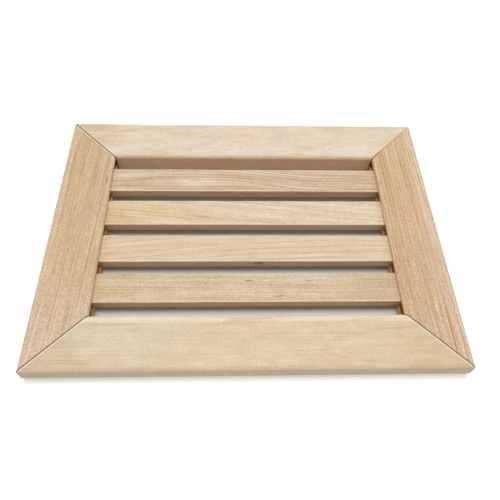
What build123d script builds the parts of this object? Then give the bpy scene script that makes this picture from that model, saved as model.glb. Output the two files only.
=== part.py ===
"""Sauna air vent: a flat wooden grille of four mitred frame boards round four flat slats.

Millimetres. The origin is the centre of the frame's back, which lies against the wall.
X runs along the rails, Y from the bottom rail to the top rail, and Z out of the wall,
so the room face of the frame is at Z = board_thickness.
"""
import os

from build123d import *

# Frame boards
frame_width = 300.0          # along X, outside to outside
frame_height = 228.0         # along Y, outside to outside
board_width = 40.0
board_thickness = 16.0
outer_face_radius = 2.0      # long edge of the room face on the outside of the frame
inner_face_radius = 3.0      # long edge of the room face on the inside of the frame
outer_back_radius = 5.5      # long edge of the back on the outside of the frame
inner_back_radius = 0.8      # long edge of the back on the inside of the frame
mitre_easing = 0.3           # broken arris round each mitred end

# Slats, and the grooves of the stiles that house their ends
slat_count = 4
slat_width = 23.6
slat_thickness = 7.5
slat_gap = 10.4              # between slats; the gaps next to the rails take what is left
slat_recess = 3.2            # room face of the frame down to the room face of a slat
slat_edge_radius = 0.4
groove_depth = 9.0
groove_play = 0.1            # groove height over slat thickness, left above the slat
slat_end_play = 0.5          # left between a slat's end and the bottom of its groove

# V-nails, driven into the backs of the mitres
v_nail_leg = 5.5
v_nail_gauge = 0.6
v_nail_height = 10.0
v_nail_half_angle = 50.0     # between a leg and the mitre, in degrees
v_nail_places = (0.32, 0.70)    # along each mitre, as shares of it from the inner corner

# Brads, driven from the back through the groove's lip into the slat ends
brad_length = 10.0
brad_wide = 1.25
brad_gauge = 1.0
brad_head_wide = 2.0
brad_head_thickness = 0.5
brad_inset = 4.5             # from the inner edge of the stile

# Derived places
half_width = frame_width / 2
half_height = frame_height / 2
opening_width = frame_width - 2 * board_width
opening_height = frame_height - 2 * board_width
slat_length = opening_width + 2 * (groove_depth - slat_end_play)
slat_pitch = slat_width + slat_gap
slat_back = board_thickness - slat_recess - slat_thickness
slat_rows = [((slat_count - 1) / 2 - row) * slat_pitch for row in range(slat_count)]


def board_section():
    """Section of a frame board: the outside edge at x = 0, the back at y = 0."""
    section = Rectangle(board_width, board_thickness, align=(Align.MIN, Align.MIN))
    corner_radii = {
        (0, 0): outer_back_radius,
        (board_width, 0): inner_back_radius,
        (0, board_thickness): outer_face_radius,
        (board_width, board_thickness): inner_face_radius,
    }
    for corner, radius in corner_radii.items():
        section = fillet(section.vertices().sort_by_distance(corner)[0], radius)
    return section


def mitred_board(length):
    """A board along X with its outside edge on the X axis, cut at 45 degrees at both ends."""
    blank = extrude(Plane.YZ * board_section(), length / 2, both=True)
    plan = Polygon(
        (-length / 2, 0),
        (length / 2, 0),
        (length / 2 - board_width, board_width),
        (board_width - length / 2, board_width),
        align=None,
    )
    board = blank & extrude(plan, board_thickness)
    mitres = board.faces().sort_by(Axis.X)
    arrises = []
    for mitre in (mitres[0], mitres[-1]):
        arrises += [edge for edge in mitre.edges() if edge.center().Z > inner_back_radius]
    return chamfer(arrises, mitre_easing)


def groove(length):
    """The space that a stile's groove takes, in the place of a board made by mitred_board."""
    space = Box(length, groove_depth, slat_thickness + groove_play, align=(Align.CENTER, Align.MAX, Align.MIN))
    return Pos(0, board_width, slat_back) * space


def v_nail():
    """One V-nail with its crease on the Z axis, straddling a mitre that runs along +X."""
    leg = Box(v_nail_leg, v_nail_gauge, v_nail_height, align=(Align.MIN, Align.CENTER, Align.MIN))
    return Rot(0, 0, v_nail_half_angle) * leg + Rot(0, 0, -v_nail_half_angle) * leg


def place_v_nails():
    """Two V-nails on each mitre, legs spread towards the outer corner."""
    nails = []
    for side in (-1, 1):
        for end in (-1, 1):
            outward = Vector(side, end).get_signed_angle(Vector(1, 0), Vector(0, 0, -1))
            for share in v_nail_places:
                x = side * (opening_width / 2 + share * board_width)
                y = end * (opening_height / 2 + share * board_width)
                nails.append(Pos(x, y, 0) * Rot(0, 0, outward) * v_nail())
    return nails


def brad():
    """One brad, its head level with the back and its shank along +Z."""
    head = Box(brad_gauge, brad_head_wide, brad_head_thickness, align=(Align.CENTER, Align.CENTER, Align.MIN))
    shank = Box(brad_gauge, brad_wide, brad_length, align=(Align.CENTER, Align.CENTER, Align.MIN))
    return head + shank


def place_brads():
    """One brad at each end of each slat."""
    brads = []
    for side in (-1, 1):
        for row in slat_rows:
            brads.append(Pos(side * (opening_width / 2 + brad_inset), row, 0) * brad())
    return brads


def slat():
    """One slat with its length along X and its back at Z = 0."""
    blank = Box(slat_length, slat_width, slat_thickness, align=(Align.CENTER, Align.CENTER, Align.MIN))
    return fillet(blank.edges().filter_by(Axis.X), slat_edge_radius)


def save(shape, node):
    """Write one node."""
    shape.label = node
    export_step(shape, f"parts/{node}.step")


v_nails = place_v_nails()
brads = place_brads()

rail = mitred_board(frame_width)
stile = mitred_board(frame_height) - groove(frame_height)
boards = {
    "top_rail": Pos(0, half_height, 0) * Rot(0, 0, 180) * rail,
    "bottom_rail": Pos(0, -half_height, 0) * rail,
    "left_stile": Pos(-half_width, 0, 0) * Rot(0, 0, -90) * stile,
    "right_stile": Pos(half_width, 0, 0) * Rot(0, 0, 90) * stile,
}

os.makedirs("parts", exist_ok=True)
for node, board in boards.items():
    fasteners = v_nails + brads if node.endswith("stile") else v_nails
    save(board - fasteners, node)
for number, row in enumerate(slat_rows, start=1):
    save(Pos(0, row, slat_back) * slat() - brads, f"slat_{number}")
save(Compound(children=v_nails), "mitre_v_nails")
save(Compound(children=brads), "slat_brads")
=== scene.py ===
"""Looks, light and camera for the sauna air vent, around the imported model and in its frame.

The model is in metres. Wood is described in millimetres in the same frame: x along the rails,
y from the bottom rail to the top rail, z out of the back.
"""
import math
from dataclasses import dataclass, field

import bpy
from mathutils import Matrix, Vector


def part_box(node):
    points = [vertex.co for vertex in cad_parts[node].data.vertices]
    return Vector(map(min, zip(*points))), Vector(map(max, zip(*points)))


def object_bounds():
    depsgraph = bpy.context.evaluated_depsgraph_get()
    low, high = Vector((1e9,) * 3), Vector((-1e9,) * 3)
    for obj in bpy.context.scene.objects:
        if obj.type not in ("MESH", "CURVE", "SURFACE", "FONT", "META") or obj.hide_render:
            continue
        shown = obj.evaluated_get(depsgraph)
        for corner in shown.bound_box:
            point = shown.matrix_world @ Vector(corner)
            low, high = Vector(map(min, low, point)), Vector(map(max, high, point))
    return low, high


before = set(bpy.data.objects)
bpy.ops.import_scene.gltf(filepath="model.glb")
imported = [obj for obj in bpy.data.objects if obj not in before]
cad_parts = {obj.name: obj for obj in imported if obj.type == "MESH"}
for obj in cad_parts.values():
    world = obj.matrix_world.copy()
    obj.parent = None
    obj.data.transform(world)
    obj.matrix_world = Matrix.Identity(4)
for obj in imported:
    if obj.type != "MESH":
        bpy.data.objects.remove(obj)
cad_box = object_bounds()

MM = 0.001
white = (1.0, 1.0, 1.0, 1.0)

# Camera, fitted to the corners of the frame and the edges of the slats in the photograph
camera_place = Vector((-12.89, -227.68, 330.97)) * MM
camera_pitch = math.radians(56.640)      # below the horizon
camera_yaw = math.radians(-4.162)        # from +y, to the left where it is above 0
camera_roll = math.radians(3.430)
camera_lens = 36.127
camera_sensor = 36.0
camera_near = 1.0 * MM

# Light
fill_level = 0.25            # the surroundings, on every side
main_lamp_level = 0.68       # added by a lamp on a face that looks straight up
main_lamp_lean = math.radians(-8)        # from upright, towards the front where it is above 0
main_lamp_spread = math.radians(28)
front_lamp_level = 0.06
front_lamp_lean = math.radians(58)
front_lamp_spread = math.radians(50)
floor_colour = (0.70, 0.735, 0.77, 1.0)
floor_lift = (0.44, 0.41, 0.38, 1.0)     # round the frame, seen only by the camera and in reflections
floor_size = 8.0

# Frame sizes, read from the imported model
half_width = cad_box[1].x / MM
half_height = cad_box[1].y / MM
face_height = cad_box[1].z / MM
slat_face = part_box("slat_1")[1].z / MM
opening_end = -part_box("bottom_rail")[1].y / MM
opening_half = half_width - (half_height - opening_end)

# The sRGB curve: a straight toe, then a power with an offset
srgb_full = 255
srgb_toe = 0.04045
srgb_toe_slope = 12.92
srgb_offset = 0.055
srgb_power = 2.4

# Places of the sockets on a Mix node that mixes colours
mix_share = 0
mix_first = 6
mix_second = 7
mix_result = 2

# A Noise node's values lie round the middle, mostly within a quarter of it
noise_middle = 0.5
noise_gain = 4.0
noise_roughness = 0.5


def srgb(red, green, blue):
    """A colour as it is seen, 0 to 255, as the linear colour that a shader takes."""
    def linear(level):
        share = level / srgb_full
        if share <= srgb_toe:
            return share / srgb_toe_slope
        return ((share + srgb_offset) / (1 + srgb_offset)) ** srgb_power
    return (linear(red), linear(green), linear(blue), 1.0)


class Field:
    """A number that varies over a surface. Arithmetic on it adds Math nodes to its graph."""

    def __init__(self, graph, socket):
        self.graph = graph
        self.socket = socket

    def __add__(self, other):
        return self.graph.math("ADD", self, other)

    def __radd__(self, other):
        return self.graph.math("ADD", other, self)

    def __sub__(self, other):
        return self.graph.math("SUBTRACT", self, other)

    def __rsub__(self, other):
        return self.graph.math("SUBTRACT", other, self)

    def __mul__(self, other):
        return self.graph.math("MULTIPLY", self, other)

    def __truediv__(self, other):
        return self.graph.math("DIVIDE", self, other)

    def __pow__(self, other):
        return self.graph.math("POWER", self, other)

    def __abs__(self):
        return self.graph.math("ABSOLUTE", self)


class Graph:
    """The node tree of one material or of the world."""

    def __init__(self, tree):
        self.tree = tree
        tree.nodes.clear()

    def add(self, kind, inputs=None, **settings):
        """A new node with these settings, its inputs linked or set."""
        node = self.tree.nodes.new(kind)
        for name, value in settings.items():
            setattr(node, name, value)
        for name, value in (inputs or {}).items():
            self.feed(node.inputs[name], value)
        return node

    def feed(self, socket, value):
        """Link a field or a socket to a socket, or set the socket to a constant."""
        if isinstance(value, Field):
            value = value.socket
        if isinstance(value, bpy.types.NodeSocket):
            self.tree.links.new(value, socket)
        else:
            socket.default_value = value

    def math(self, operation, *values):
        """The result of a Math node on these values."""
        node = self.add("ShaderNodeMath", operation=operation)
        for socket, value in zip(node.inputs, values):
            self.feed(socket, value)
        return Field(self, node.outputs["Value"])

    def ramp(self, value, start, end):
        """Smoothly from 0 at start to 1 at end, whichever of them is larger."""
        inputs = {"Value": value, "From Min": start, "From Max": end}
        node = self.add("ShaderNodeMapRange", inputs, interpolation_type="SMOOTHSTEP")
        return Field(self, node.outputs["Result"])

    def noise(self, place, size, seed, detail=2.0):
        """Smooth noise about 0, with features of this size along the grain and across it."""
        long, wide = size
        parts = {}
        for name, part, length in zip("XYZ", place, (long, wide, wide)):
            parts[name] = part / length + seed
        vector = self.add("ShaderNodeCombineXYZ", parts).outputs["Vector"]
        inputs = {"Vector": vector, "Scale": 1.0, "Detail": detail, "Roughness": noise_roughness}
        node = self.add("ShaderNodeTexNoise", inputs, noise_dimensions="3D")
        return (Field(self, node.outputs["Fac"]) - noise_middle) * noise_gain

    def random(self, value):
        """A random number from 0 to 1 for each whole value."""
        node = self.add("ShaderNodeTexWhiteNoise", {"W": value}, noise_dimensions="1D")
        return Field(self, node.outputs["Value"])

    def mix(self, share, first, second, blend_type="MIX"):
        """The first colour where share is 0 and the second, or both blended, where it is 1."""
        node = self.add("ShaderNodeMix", data_type="RGBA", blend_type=blend_type)
        for number, value in ((mix_share, share), (mix_first, first), (mix_second, second)):
            self.feed(node.inputs[number], value)
        return node.outputs[mix_result]

    def shade(self, colour, change):
        """A colour made darker and warmer where change is below 0, and lighter where it is above 0."""
        gains = {name: 1.0 + change * share for name, share in zip(("Red", "Green", "Blue"), warmth)}
        gain = self.add("ShaderNodeCombineColor", gains).outputs["Color"]
        return self.mix(1.0, colour, gain, blend_type="MULTIPLY")


def new_material(name):
    """A new material and the graph of its nodes, still empty."""
    material = bpy.data.materials.new(name)
    material.use_nodes = True
    return material, Graph(material.node_tree)


# Wood figure: feature sizes along and across the grain
sway_size = (70.0, 18.0)
cloud_size = (40.0, 9.0)
mottle_size = (12.0, 5.0)
band_size = (80.0, 2.4)
thread_size = (75.0, 0.75)
speck_size = (1.3, 0.8)
break_size = (45.0, 5.0)

# What is added to a board's seed, so that the parts of its figure differ
cloud_seed = 1
mottle_seed = 2
band_seed = 3
break_seed = 5
thread_seed = 7
speck_seed = 11

fine_detail = 1.0            # of the threads' and specks' noise
sway_detail = 3.0
mottle_share = 0.06          # strength of the mottles on every board
warmth = (0.8, 1.0, 1.3)     # how strongly red, green and blue follow a change of shade
ring_peak = 0.90             # share of a ring where its late wood is darkest
ring_least = 0.4             # strength of the weakest ring
ring_steady = 0.65           # strength that doesn't change along a ring
ragged_share = 0.2           # how much threads and specks break up marks
relief_share = 0.5           # how much they stand out
relief_strength = 0.25
relief_depth = 0.04
wood_roughness = 0.6
wood_roughness_change = 0.05
wood_specular = 0.25

# Mitres: distances from the joint, and strengths
joint_half = 0.24            # the line along a joint is dark up to here
joint_fade = 0.70            # and ends here
joint_loss = 0.15            # taken off the line's strength
open_joint = 1.35            # how much wider an open joint's line is
tight_reach = 20.0           # a tight joint fades over this much from its inner end
tight_loss = 0.6             # share of the line that it loses there
worn_near = 1.0              # the pale arris beside a joint is full up to here
worn_far = 1.8               # and ends here
worn_loss = 0.35             # taken off its strength
tight_worn = 0.5             # share of that width at a tight joint

# Edges of the frame boards: distances from the edge or depths below the room face, and strengths
arris_top = 0.1              # depths between which the room face turns into an edge face
arris_end = 1.3
inner_reach = 2.4            # the rails' inner faces are browner with painted shade up to here
inner_shade_share = 0.9
outer_reach = 2.0            # their outer faces are paler with painted light up to here
outer_light_share = 0.8
groove_near = 10.0           # the stiles are browner with painted shade inside, this far from the opening
groove_far = 14.0            # and not past here
groove_top = 1.8             # depth where that begins
groove_shade_share = 0.85

# Edges of the slats
slat_arris_near = 0.5        # an arris is full this far from its corner
slat_arris_far = 1.2         # and ends here
slat_side_shade_share = 0.5        # how strongly painted warm shade browns the side faces below it
slat_highlight_share = 0.45       # strength of the painted highlight on the front arris
slat_highlight_change = 0.4       # and how much that follows the clouds
end_reach = 9.0              # slats are warmer this far from the stiles
end_share = 0.25
contact_near = 0.2           # and painted shade is full this near them
contact_reach = 1.3          # and ends here
contact_shade_share = 0.30

# Steel
scratch_size = (4.0, 0.3)
scratch_seed = 2.0
scratch_detail = 3.0
scratch_shade = 0.08
steel_roughness = 0.36
steel_roughness_change = 0.10

# Colours
steel_grey = srgb(196, 196, 198)
brown = srgb(128, 88, 58)
dark_brown = srgb(98, 60, 36)
knot_brown = srgb(40, 16, 10)
joint_brown = srgb(126, 76, 32)
# painted shade for the rails' inner faces, in the recess by the slats
recess_shade_brown = srgb(230, 191, 152)
# painted light for the rails' outer faces
outer_light_tan = srgb(225, 202, 173)
# painted shade for the stiles' grooves
groove_shade_brown = srgb(234, 178, 124)
# painted warm shade for the slats' side faces
side_shade_brown = srgb(218, 164, 110)
grey_brown = srgb(148, 122, 92)
golden = srgb(214, 172, 112)
golden_brown = srgb(186, 140, 84)
rust = srgb(176, 118, 84)
pink_tan = srgb(214, 176, 146)
pale_cream = srgb(246, 234, 214)
pale_grey = srgb(214, 206, 186)


@dataclass
class Streak:
    """A mark that lies in the grain, such as a mineral streak or a pin knot."""
    x: float
    y: float
    length: float
    width: float
    strength: float
    colour: tuple
    slope: float = 0.0       # across the grain for each unit along it
    z: float = 0.0           # where it is in depth, for one that has a height
    height: float = 0.0


@dataclass
class Tint:
    """A slow change of colour along or across a board, from none at start to full at end."""
    way: str
    start: float
    end: float
    strength: float
    colour: tuple


@dataclass
class Rings:
    """The growth rings that a board shows."""
    colour: tuple            # of the late wood
    strength: float
    spacing: float
    pith: tuple              # the tree's centre, across the board and in depth
    pith_slope: tuple = (0.0, 0.0)       # how the centre strays along the board
    drift: tuple = (-100.0, 100.0, 0.0)  # the grain bends across by the third between the first two
    sway: float = 1.0
    start: float = 0.6       # share of a ring where the late wood begins
    reach: tuple = (-400.0, -300.0)      # places along the board between which they come up


@dataclass
class Board:
    """How one board was cut from its tree, and what its wood looks like."""
    node: str
    grain: str               # the axis that the fibres follow
    seed: float
    colour: tuple            # between the rings
    rings: Rings
    cloud: float             # strengths of the figure's parts
    band: float
    thread: float
    speck: float
    warm: tuple              # the clouds' two colours
    cool: tuple
    worn_mitres: tuple = ()  # ends whose arris is rubbed pale, -1 or 1 along the grain
    tight_mitres: tuple = ()  # ends whose joint fades away
    open_mitres: tuple = ()  # ends whose joint shows a wider line
    tints: list = field(default_factory=list)
    streaks: list = field(default_factory=list)


def ring_lines(graph, board, along, flow, depth):
    """Late wood of the growth rings: 0 between the rings, up to 1 at a strong one."""
    rings = board.rings
    place = (along, flow, depth)
    sway = graph.noise(place, sway_size, board.seed, detail=sway_detail) * rings.sway
    sideways = flow - rings.pith[0] + sway
    below = depth - rings.pith[1] - along * rings.pith_slope[1]
    radius = (sideways * sideways + below * below) ** 0.5
    ring = radius / rings.spacing
    number = graph.math("FLOOR", ring)
    share = ring - number
    rise = graph.ramp(share, rings.start, ring_peak)
    fall = graph.ramp(share, 1.0, ring_peak)
    strength = ring_least + graph.random(number + board.seed) * (1.0 - ring_least)
    breaks = graph.noise(place, break_size, board.seed + break_seed)
    fading = ring_steady + breaks * (1.0 - ring_steady)
    return rise * fall * strength * fading * graph.ramp(along, *rings.reach)


def streak_mask(graph, streak, along, across, z, grain):
    """1 in the middle of a streak, 0 outside it."""
    centre_along, centre_across = (streak.x, streak.y) if grain == "x" else (streak.y, streak.x)
    run = along - centre_along
    side = across - centre_across - run * streak.slope
    far_along = run / (streak.length / 2)
    far_across = side / (streak.width / 2)
    distance = far_along * far_along + far_across * far_across
    if streak.height:
        far_deep = (z - streak.z) / (streak.height / 2)
        distance = distance + far_deep * far_deep
    return graph.ramp(distance, 1.0, 0.0) * streak.strength


def mitre_marks(graph, board, colour, place, along, ragged):
    """The dark line along a mitre, and the pale arris beside it on the room face at some ends."""
    x, y, z = place
    on_face = graph.ramp(face_height - z, arris_end, arris_top)
    to_mitre = abs(abs(x) - abs(y) - (half_width - half_height)) * math.sqrt(0.5)
    for end in board.worn_mitres:
        at_end = graph.ramp(along * end, 0.0, 1.0)
        width = tight_worn if end in board.tight_mitres else 1.0
        beside = graph.ramp(to_mitre, worn_far * width, worn_near * width) * at_end * on_face
        colour = graph.mix(beside * (ragged - worn_loss), colour, pale_cream)
    line = graph.ramp(to_mitre, joint_fade, joint_half)
    for end in board.open_mitres:
        wide = graph.ramp(to_mitre, joint_fade * open_joint, joint_half * open_joint)
        line = graph.math("MAXIMUM", line, wide * graph.ramp(along * end, 0.0, 1.0))
    line = line * (ragged - joint_loss)
    for end in board.tight_mitres:
        outer_part = graph.ramp(abs(y), opening_end, opening_end + tight_reach)
        line = line * (1.0 - graph.ramp(along * end, 0.0, 1.0) * outer_part * tight_loss)
    return graph.mix(line, colour, joint_brown)


def rail_edges(graph, colour, y, z):
    """A rail's outer face made paler with painted light, and its inner face made browner with painted
    shade.
    """
    outer_face = graph.ramp(half_height - abs(y), outer_reach, 0.0)
    colour = graph.mix(outer_face * outer_light_share, colour, outer_light_tan)
    # painted shade on the inner face, below the arris
    inner_face = graph.ramp(abs(y) - opening_end, inner_reach, 0.0)
    under_arris = graph.ramp(face_height - z, arris_top, arris_end)
    return graph.mix(inner_face * under_arris * inner_shade_share, colour, recess_shade_brown)


def stile_groove(graph, colour, x, z):
    """Painted shade that makes a stile browner in and under its groove."""
    inside = graph.ramp(abs(x) - opening_half, groove_far, groove_near)
    under_face = graph.ramp(face_height - z, groove_top, groove_top + arris_end)
    return graph.mix(inside * under_face * groove_shade_share, colour, groove_shade_brown)


def slat_marks(graph, board, colour, x, y, z, clouds):
    """A slat's side faces browned with painted shade, its front arris with a painted highlight, warmer
    towards its ends, and painted contact shade beside the stiles.
    """
    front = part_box(board.node)[0].y / MM
    # painted warm shade on the side faces below the slat's top face
    edge = graph.ramp(z, slat_face - slat_arris_near, slat_face - slat_arris_far)
    colour = graph.mix(edge * slat_side_shade_share, colour, side_shade_brown)
    # painted highlight along the front arris, stronger where the clouds are
    arris = graph.ramp(y - front, slat_arris_far, slat_arris_near) * (1.0 - edge)
    arris_highlight = slat_highlight_share + clouds * slat_highlight_change
    colour = graph.mix(arris * arris_highlight, colour, pale_cream)
    to_end = opening_half - abs(x)
    near_end = graph.ramp(to_end, end_reach, 0.0)
    colour = graph.mix(near_end * end_share, colour, golden_brown)
    # painted shade where the slat meets the stiles
    contact_shade = graph.ramp(to_end, contact_reach, contact_near)
    return graph.mix(contact_shade * contact_shade_share, colour, brown)


def wood(board):
    """The material of one board, a solid texture in the frame's own coordinates."""
    material, graph = new_material(board.node + "_wood")
    position = graph.add("ShaderNodeTexCoord").outputs["Object"]
    axes = graph.add("ShaderNodeSeparateXYZ", {"Vector": position}).outputs
    x, y, z = (Field(graph, axes[name]) * (1 / MM) for name in "XYZ")
    along, across = (x, y) if board.grain == "x" else (y, x)
    bend_start, bend_end, bend = board.rings.drift
    bent = graph.ramp(along, bend_start, bend_end) * bend
    flow = across - along * board.rings.pith_slope[0] - bent
    place = (along, flow, z)

    clouds = graph.noise(place, cloud_size, board.seed + cloud_seed)
    mottles = graph.noise(place, mottle_size, board.seed + mottle_seed)
    bands = graph.noise(place, band_size, board.seed + band_seed)
    threads = graph.noise(place, thread_size, board.seed + thread_seed, detail=fine_detail)
    specks = graph.noise(place, speck_size, board.seed + speck_seed, detail=fine_detail)
    lines = ring_lines(graph, board, along, flow, z)

    colour = board.colour
    for tint in board.tints:
        way = along if tint.way == "along" else across
        share = graph.ramp(way, tint.start, tint.end) * tint.strength
        colour = graph.mix(share, colour, tint.colour)
    colour = graph.mix(graph.ramp(clouds, 0.0, 1.0) * board.cloud, colour, board.warm)
    colour = graph.mix(graph.ramp(clouds, 0.0, -1.0) * board.cloud, colour, board.cool)
    colour = graph.mix(lines * board.rings.strength, colour, board.rings.colour)
    if board.node.endswith("rail"):
        colour = rail_edges(graph, colour, y, z)
    if board.node.endswith("stile"):
        colour = stile_groove(graph, colour, x, z)
    change = mottles * mottle_share + bands * board.band + threads * board.thread + specks * board.speck
    colour = graph.shade(colour, change)
    ragged = 1.0 + threads * ragged_share + specks * ragged_share
    for streak in board.streaks:
        mask = streak_mask(graph, streak, along, across, z, board.grain) * ragged
        colour = graph.mix(mask, colour, streak.colour)
    if board.node.startswith("slat"):
        colour = slat_marks(graph, board, colour, x, y, z, clouds)
    else:
        colour = mitre_marks(graph, board, colour, (x, y, z), along, ragged)

    bump = graph.add("ShaderNodeBump", {
        "Height": threads * relief_share + specks * relief_share,
        "Strength": relief_strength,
        "Distance": relief_depth * MM,
    })
    surface = graph.add("ShaderNodeBsdfPrincipled", {
        "Base Color": colour,
        "Roughness": wood_roughness + threads * wood_roughness_change,
        "Specular IOR Level": wood_specular,
        "Normal": bump.outputs["Normal"],
    })
    graph.add("ShaderNodeOutputMaterial", {"Surface": surface.outputs["BSDF"]})
    return material


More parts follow.
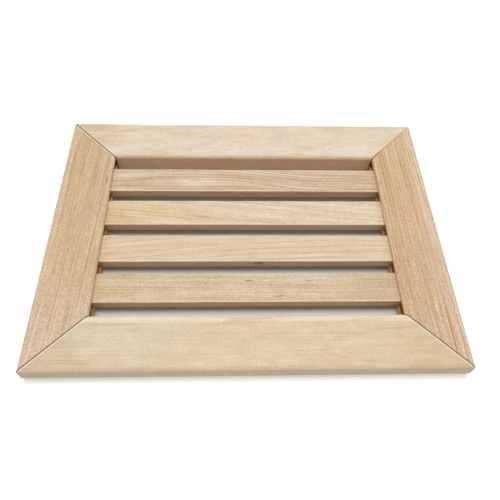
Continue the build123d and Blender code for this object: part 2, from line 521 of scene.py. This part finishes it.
boards = [
    Board(
        node="top_rail", grain="x", seed=1.3, colour=srgb(228, 210, 184),
        rings=Rings(
            srgb(214, 188, 150), strength=0.30, spacing=6.0, pith=(101.0, -15.0), pith_slope=(0.0, -0.12),
            sway=2.0, start=0.5,
        ),
        cloud=0.70, band=0.03, thread=0.07, speck=0.13,
        warm=srgb(222, 194, 160), cool=srgb(232, 220, 202), worn_mitres=(-1, 1), tight_mitres=(1,),
        open_mitres=(-1,),
        tints=[
            Tint("along", -95.0, -140.0, 0.75, srgb(207, 179, 137)),
            Tint("across", 98.0, 82.0, 0.45, srgb(233, 221, 205)),
            # painted shade on the inner rounding, browner towards the inner face
            Tint("across", 77.4, 75.2, 0.60, srgb(206, 166, 118)),
        ],
        streaks=[
            Streak(-101.5, 105.5, 44.0, 4.5, 0.45, pink_tan, 0.21),
            Streak(-127.0, 113.2, 30.0, 2.4, 0.8, srgb(158, 116, 72)),
            Streak(37.0, 105.0, 30.0, 4.0, 0.3, pale_grey),
        ],
    ),
    Board(
        node="bottom_rail", grain="x", seed=5.1, colour=srgb(221, 201, 168),
        rings=Rings(
            srgb(212, 168, 104), strength=0.55, spacing=6.4, pith=(-99.0, -8.0), pith_slope=(0.0, 0.11),
            sway=2.4, start=0.66, reach=(-60.0, 0.0),
        ),
        cloud=0.55, band=0.02, thread=0.065, speck=0.13,
        warm=srgb(216, 188, 144), cool=srgb(228, 212, 186), worn_mitres=(-1, 1),
        tints=[
            Tint("along", -30.0, -90.0, 0.50, srgb(218, 204, 180)),
            Tint("along", -95.0, -135.0, 0.70, srgb(206, 186, 152)),
            Tint("along", 60.0, 130.0, 0.55, srgb(214, 187, 146)),
            # painted highlight along the inner edge and its rounding
            Tint("across", -81.0, -78.0, 0.55, pale_cream),
            # painted shade on the front rounding
            Tint("across", -110.6, -112.4, 0.50, srgb(202, 168, 122)),
        ],
        streaks=[
            Streak(-94.0, -81.4, 50.0, 2.6, 0.5, golden),
            Streak(-119.0, -106.5, 30.0, 0.9, 0.5, golden_brown, -0.04),
            Streak(-116.0, -108.8, 34.0, 0.9, 0.4, golden_brown, -0.04),
        ],
    ),
    Board(
        node="left_stile", grain="y", seed=9.7, colour=srgb(209, 179, 142),
        rings=Rings(
            srgb(170, 124, 86), strength=0.28, spacing=2.6, pith=(-240.0, -20.0), pith_slope=(0.05, 0.0),
            sway=1.8, start=0.45,
        ),
        cloud=0.45, band=0.04, thread=0.20, speck=0.24,
        warm=srgb(208, 166, 122), cool=srgb(220, 194, 166), worn_mitres=(1,), open_mitres=(1,),
        tints=[
            Tint("along", -20.0, -105.0, 0.70, srgb(219, 195, 172)),
            Tint("across", -126.0, -112.0, 0.25, srgb(220, 190, 150)),
            Tint("along", 10.0, 100.0, 0.35, srgb(202, 170, 134)),
            # painted highlight on the inner rounding
            Tint("across", -113.5, -110.5, 0.55, srgb(236, 214, 184)),
            Tint("across", -139.0, -149.0, 0.20, srgb(234, 216, 196)),
        ],
        streaks=[
            Streak(-116.6, -13.0, 150.0, 1.2, 0.30, brown, 0.053),
            Streak(-113.5, 48.5, 9.0, 1.3, 0.6, dark_brown, 0.053),
            Streak(-145.5, 50.0, 120.0, 1.6, 0.4, pale_cream),
            Streak(-143.0, 50.0, 120.0, 1.7, 0.4, rust),
            Streak(-133.3, 53.0, 4.0, 1.0, 0.6, brown),
            Streak(-139.0, -25.0, 4.0, 1.0, 0.5, brown),
            Streak(-140.0, -39.0, 4.0, 1.0, 0.5, brown),
        ],
    ),
    Board(
        node="right_stile", grain="y", seed=14.2, colour=srgb(211, 178, 139),
        rings=Rings(
            srgb(172, 124, 88), strength=0.65, spacing=2.9, pith=(260.0, -20.0), pith_slope=(-0.02, 0.0),
            sway=1.2, start=0.45,
        ),
        cloud=0.45, band=0.05, thread=0.25, speck=0.28,
        warm=srgb(206, 166, 116), cool=srgb(220, 194, 166), tight_mitres=(1,),
        tints=[
            Tint("across", 126.0, 146.0, 0.60, srgb(220, 193, 163)),
            Tint("across", 123.0, 113.0, 0.35, srgb(200, 165, 123)),
            Tint("along", 10.0, 100.0, 0.30, srgb(212, 178, 134)),
            # painted highlight on the inner rounding
            Tint("across", 113.5, 110.5, 0.55, srgb(236, 212, 180)),
            Tint("along", -30.0, -110.0, 0.50, srgb(212, 184, 158)),
            Tint("across", 140.0, 149.0, 0.32, srgb(236, 218, 198)),
        ],
        streaks=[
            Streak(141.0, -12.0, 130.0, 16.0, 0.30, srgb(236, 214, 188)),
            Streak(140.0, -88.0, 56.0, 1.6, 0.75, rust),
            Streak(140.0, -10.0, 160.0, 1.4, 0.4, rust),
            Streak(112.5, 45.0, 6.0, 1.2, 0.6, brown),
            Streak(113.0, -81.0, 5.0, 1.2, 0.5, brown),
            Streak(126.7, 40.0, 4.0, 1.0, 0.5, brown),
            Streak(133.5, -69.0, 9.0, 2.4, 0.4, pale_cream),
        ],
    ),
    Board(
        node="slat_1", grain="x", seed=21.8, colour=srgb(213, 189, 159),
        rings=Rings(
            srgb(166, 126, 88), strength=0.80, spacing=3.1, pith=(-40.0, -8.0), drift=(-20.0, 62.0, -9.0),
            start=0.68,
        ),
        cloud=0.60, band=0.08, thread=0.37, speck=0.20,
        warm=srgb(204, 166, 126), cool=srgb(224, 206, 182),
        tints=[
            Tint("along", 45.0, 105.0, 0.65, srgb(204, 170, 134)),
            Tint("across", 54.0, 62.0, 0.35, srgb(222, 202, 176)),
        ],
        streaks=[
            Streak(-80.5, 59.5, 17.0, 0.9, 0.55, brown),
            Streak(58.0, 46.3, 8.0, 1.5, 0.5, rust, 0.12),
        ],
    ),
    Board(
        node="slat_2", grain="x", seed=27.4, colour=srgb(224, 205, 175),
        rings=Rings(
            srgb(202, 160, 112), strength=0.50, spacing=3.2, pith=(-70.0, -8.0), pith_slope=(-0.10, 0.0),
            sway=1.2,
        ),
        cloud=0.55, band=0.04, thread=0.16, speck=0.15,
        warm=srgb(216, 186, 146), cool=srgb(232, 219, 198),
        tints=[
            Tint("along", 10.0, -110.0, 0.6, srgb(214, 180, 126)),
            Tint("across", 20.0, 28.0, 0.35, srgb(230, 216, 194)),
        ],
        streaks=[Streak(-35.0, 12.8, 16.0, 2.2, 0.5, grey_brown, -0.12)],
    ),
    Board(
        node="slat_3", grain="x", seed=33.9, colour=srgb(223, 201, 169),
        rings=Rings(
            srgb(206, 162, 106), strength=0.80, spacing=4.5, pith=(-80.0, -10.0),
            drift=(-200.0, 75.0, 17.0),
        ),
        cloud=0.45, band=0.03, thread=0.15, speck=0.15,
        warm=srgb(214, 182, 140), cool=srgb(230, 212, 186),
        tints=[Tint("across", -16.0, -6.0, 0.30, srgb(228, 212, 188))],
        streaks=[Streak(8.6, -28.8, 11.0, 3.0, 1.0, knot_brown, z=10.0, height=4.4)],
    ),
    Board(
        node="slat_4", grain="x", seed=40.5, colour=srgb(214, 190, 156),
        rings=Rings(srgb(190, 152, 108), strength=0.25, spacing=3.0, pith=(-120.0, -10.0), sway=0.8),
        cloud=0.60, band=0.04, thread=0.18, speck=0.165,
        warm=srgb(208, 176, 136), cool=srgb(222, 202, 174),
        tints=[
            Tint("along", 65.0, 108.0, 0.70, srgb(202, 172, 136)),
            Tint("along", -50.0, -105.0, 0.30, srgb(202, 174, 138)),
            Tint("across", -52.0, -62.0, 0.30, srgb(206, 180, 146)),
            Tint("across", -48.0, -40.0, 0.30, srgb(220, 198, 168)),
        ],
        streaks=[
            Streak(1.0, -45.4, 9.0, 1.3, 0.7, brown),
            Streak(19.0, -45.8, 5.0, 1.0, 0.5, brown),
            Streak(45.0, -45.7, 6.0, 1.1, 0.65, brown),
            Streak(23.0, -58.2, 12.0, 1.9, 0.8, golden_brown, 0.2),
            Streak(-82.0, -60.2, 7.0, 1.2, 0.5, grey_brown),
            Streak(-28.0, -43.2, 3.0, 2.4, 0.5, golden_brown),
            Streak(-30.5, -48.2, 4.0, 1.8, 0.5, golden_brown),
        ],
    ),
]


def steel():
    """Bright wire, finely scratched."""
    material, graph = new_material("fastener_steel")
    position = graph.add("ShaderNodeTexCoord").outputs["Object"]
    axes = graph.add("ShaderNodeSeparateXYZ", {"Vector": position}).outputs
    place = [Field(graph, axes[name]) * (1 / MM) for name in "XYZ"]
    scratches = graph.noise(place[::-1], scratch_size, scratch_seed, detail=scratch_detail)
    surface = graph.add("ShaderNodeBsdfPrincipled", {
        "Base Color": graph.shade(steel_grey, scratches * scratch_shade),
        "Metallic": 1.0,
        "Roughness": steel_roughness + scratches * steel_roughness_change,
    })
    graph.add("ShaderNodeOutputMaterial", {"Surface": surface.outputs["BSDF"]})
    return material


def wear(node, material):
    """Give a node of the model its material."""
    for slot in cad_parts[node].material_slots:
        slot.material = material


def seen_rays(graph):
    """1 for what the camera sees itself, in a reflection or through glass, 0 for light on the object."""
    path = graph.add("ShaderNodeLightPath").outputs
    seen = graph.math("MAXIMUM", path["Is Camera Ray"], path["Is Glossy Ray"])
    return graph.math("MAXIMUM", seen, path["Is Transmission Ray"])


def make_floor():
    """A plain pale floor under the vent."""
    half = floor_size / 2
    mesh = bpy.data.meshes.new("floor")
    corners = [(-half, -half, 0), (half, -half, 0), (half, half, 0), (-half, half, 0)]
    mesh.from_pydata(corners, [], [(0, 1, 2, 3)])
    floor = bpy.data.objects.new("floor", mesh)
    bpy.context.scene.collection.objects.link(floor)
    material, graph = new_material("floor")
    paper = graph.add("ShaderNodeBsdfDiffuse", {"Color": floor_colour})
    position = graph.add("ShaderNodeTexCoord").outputs["Object"]
    axes = graph.add("ShaderNodeSeparateXYZ", {"Vector": position}).outputs
    past_side = graph.ramp(abs(Field(graph, axes["X"])), opening_half * MM, half_width * MM)
    past_end = graph.ramp(abs(Field(graph, axes["Y"])), opening_end * MM, half_height * MM)
    outside = graph.math("MAXIMUM", past_side, past_end)
    lift = graph.add("ShaderNodeEmission", {"Color": floor_lift, "Strength": seen_rays(graph) * outside})
    both = graph.add("ShaderNodeAddShader")
    graph.feed(both.inputs[0], paper.outputs["BSDF"])
    graph.feed(both.inputs[1], lift.outputs["Emission"])
    graph.add("ShaderNodeOutputMaterial", {"Surface": both.outputs["Shader"]})
    mesh.materials.append(material)


def make_world():
    """Even white surroundings that light the vent from every side, white behind it."""
    world = bpy.data.worlds.new("studio")
    world.use_nodes = True
    graph = Graph(world.node_tree)
    strength = fill_level + seen_rays(graph) * (1.0 - fill_level)
    background = graph.add("ShaderNodeBackground", {"Color": white, "Strength": strength})
    graph.add("ShaderNodeOutputWorld", {"Surface": background.outputs["Background"]})
    bpy.context.scene.world = world


def make_lamp(name, level, lean, spread):
    """A wide soft lamp."""
    lamp = bpy.data.lights.new(name, "SUN")
    lamp.energy = level * math.pi / math.cos(lean)
    lamp.angle = spread
    holder = bpy.data.objects.new(name, lamp)
    holder.rotation_euler = (lean, 0, 0)
    bpy.context.scene.collection.objects.link(holder)


def make_camera():
    """The photograph's camera."""
    level_right = Vector((math.cos(camera_yaw), math.sin(camera_yaw), 0))
    level_ahead = Vector((-math.sin(camera_yaw), math.cos(camera_yaw), 0))
    upright = Vector((0, 0, 1))
    ahead = level_ahead * math.cos(camera_pitch) - upright * math.sin(camera_pitch)
    level_up = level_ahead * math.sin(camera_pitch) + upright * math.cos(camera_pitch)
    right = level_right * math.cos(camera_roll) + level_up * math.sin(camera_roll)
    up = level_up * math.cos(camera_roll) - level_right * math.sin(camera_roll)
    camera = bpy.data.cameras.new("camera")
    camera.lens = camera_lens
    camera.sensor_width = camera_sensor
    camera.clip_start = camera_near
    holder = bpy.data.objects.new("camera", camera)
    turn = Matrix((right, up, -ahead)).transposed().to_4x4()
    holder.matrix_world = Matrix.Translation(camera_place) @ turn
    bpy.context.scene.collection.objects.link(holder)
    bpy.context.scene.camera = holder


for board in boards:
    wear(board.node, wood(board))
fastener_metal = steel()
for node in ("mitre_v_nails", "slat_brads"):
    wear(node, fastener_metal)

make_floor()
make_world()
make_lamp("main_lamp", main_lamp_level, main_lamp_lean, main_lamp_spread)
make_lamp("front_lamp", front_lamp_level, front_lamp_lean, front_lamp_spread)
make_camera()
bpy.context.scene.view_settings.view_transform = "Standard"
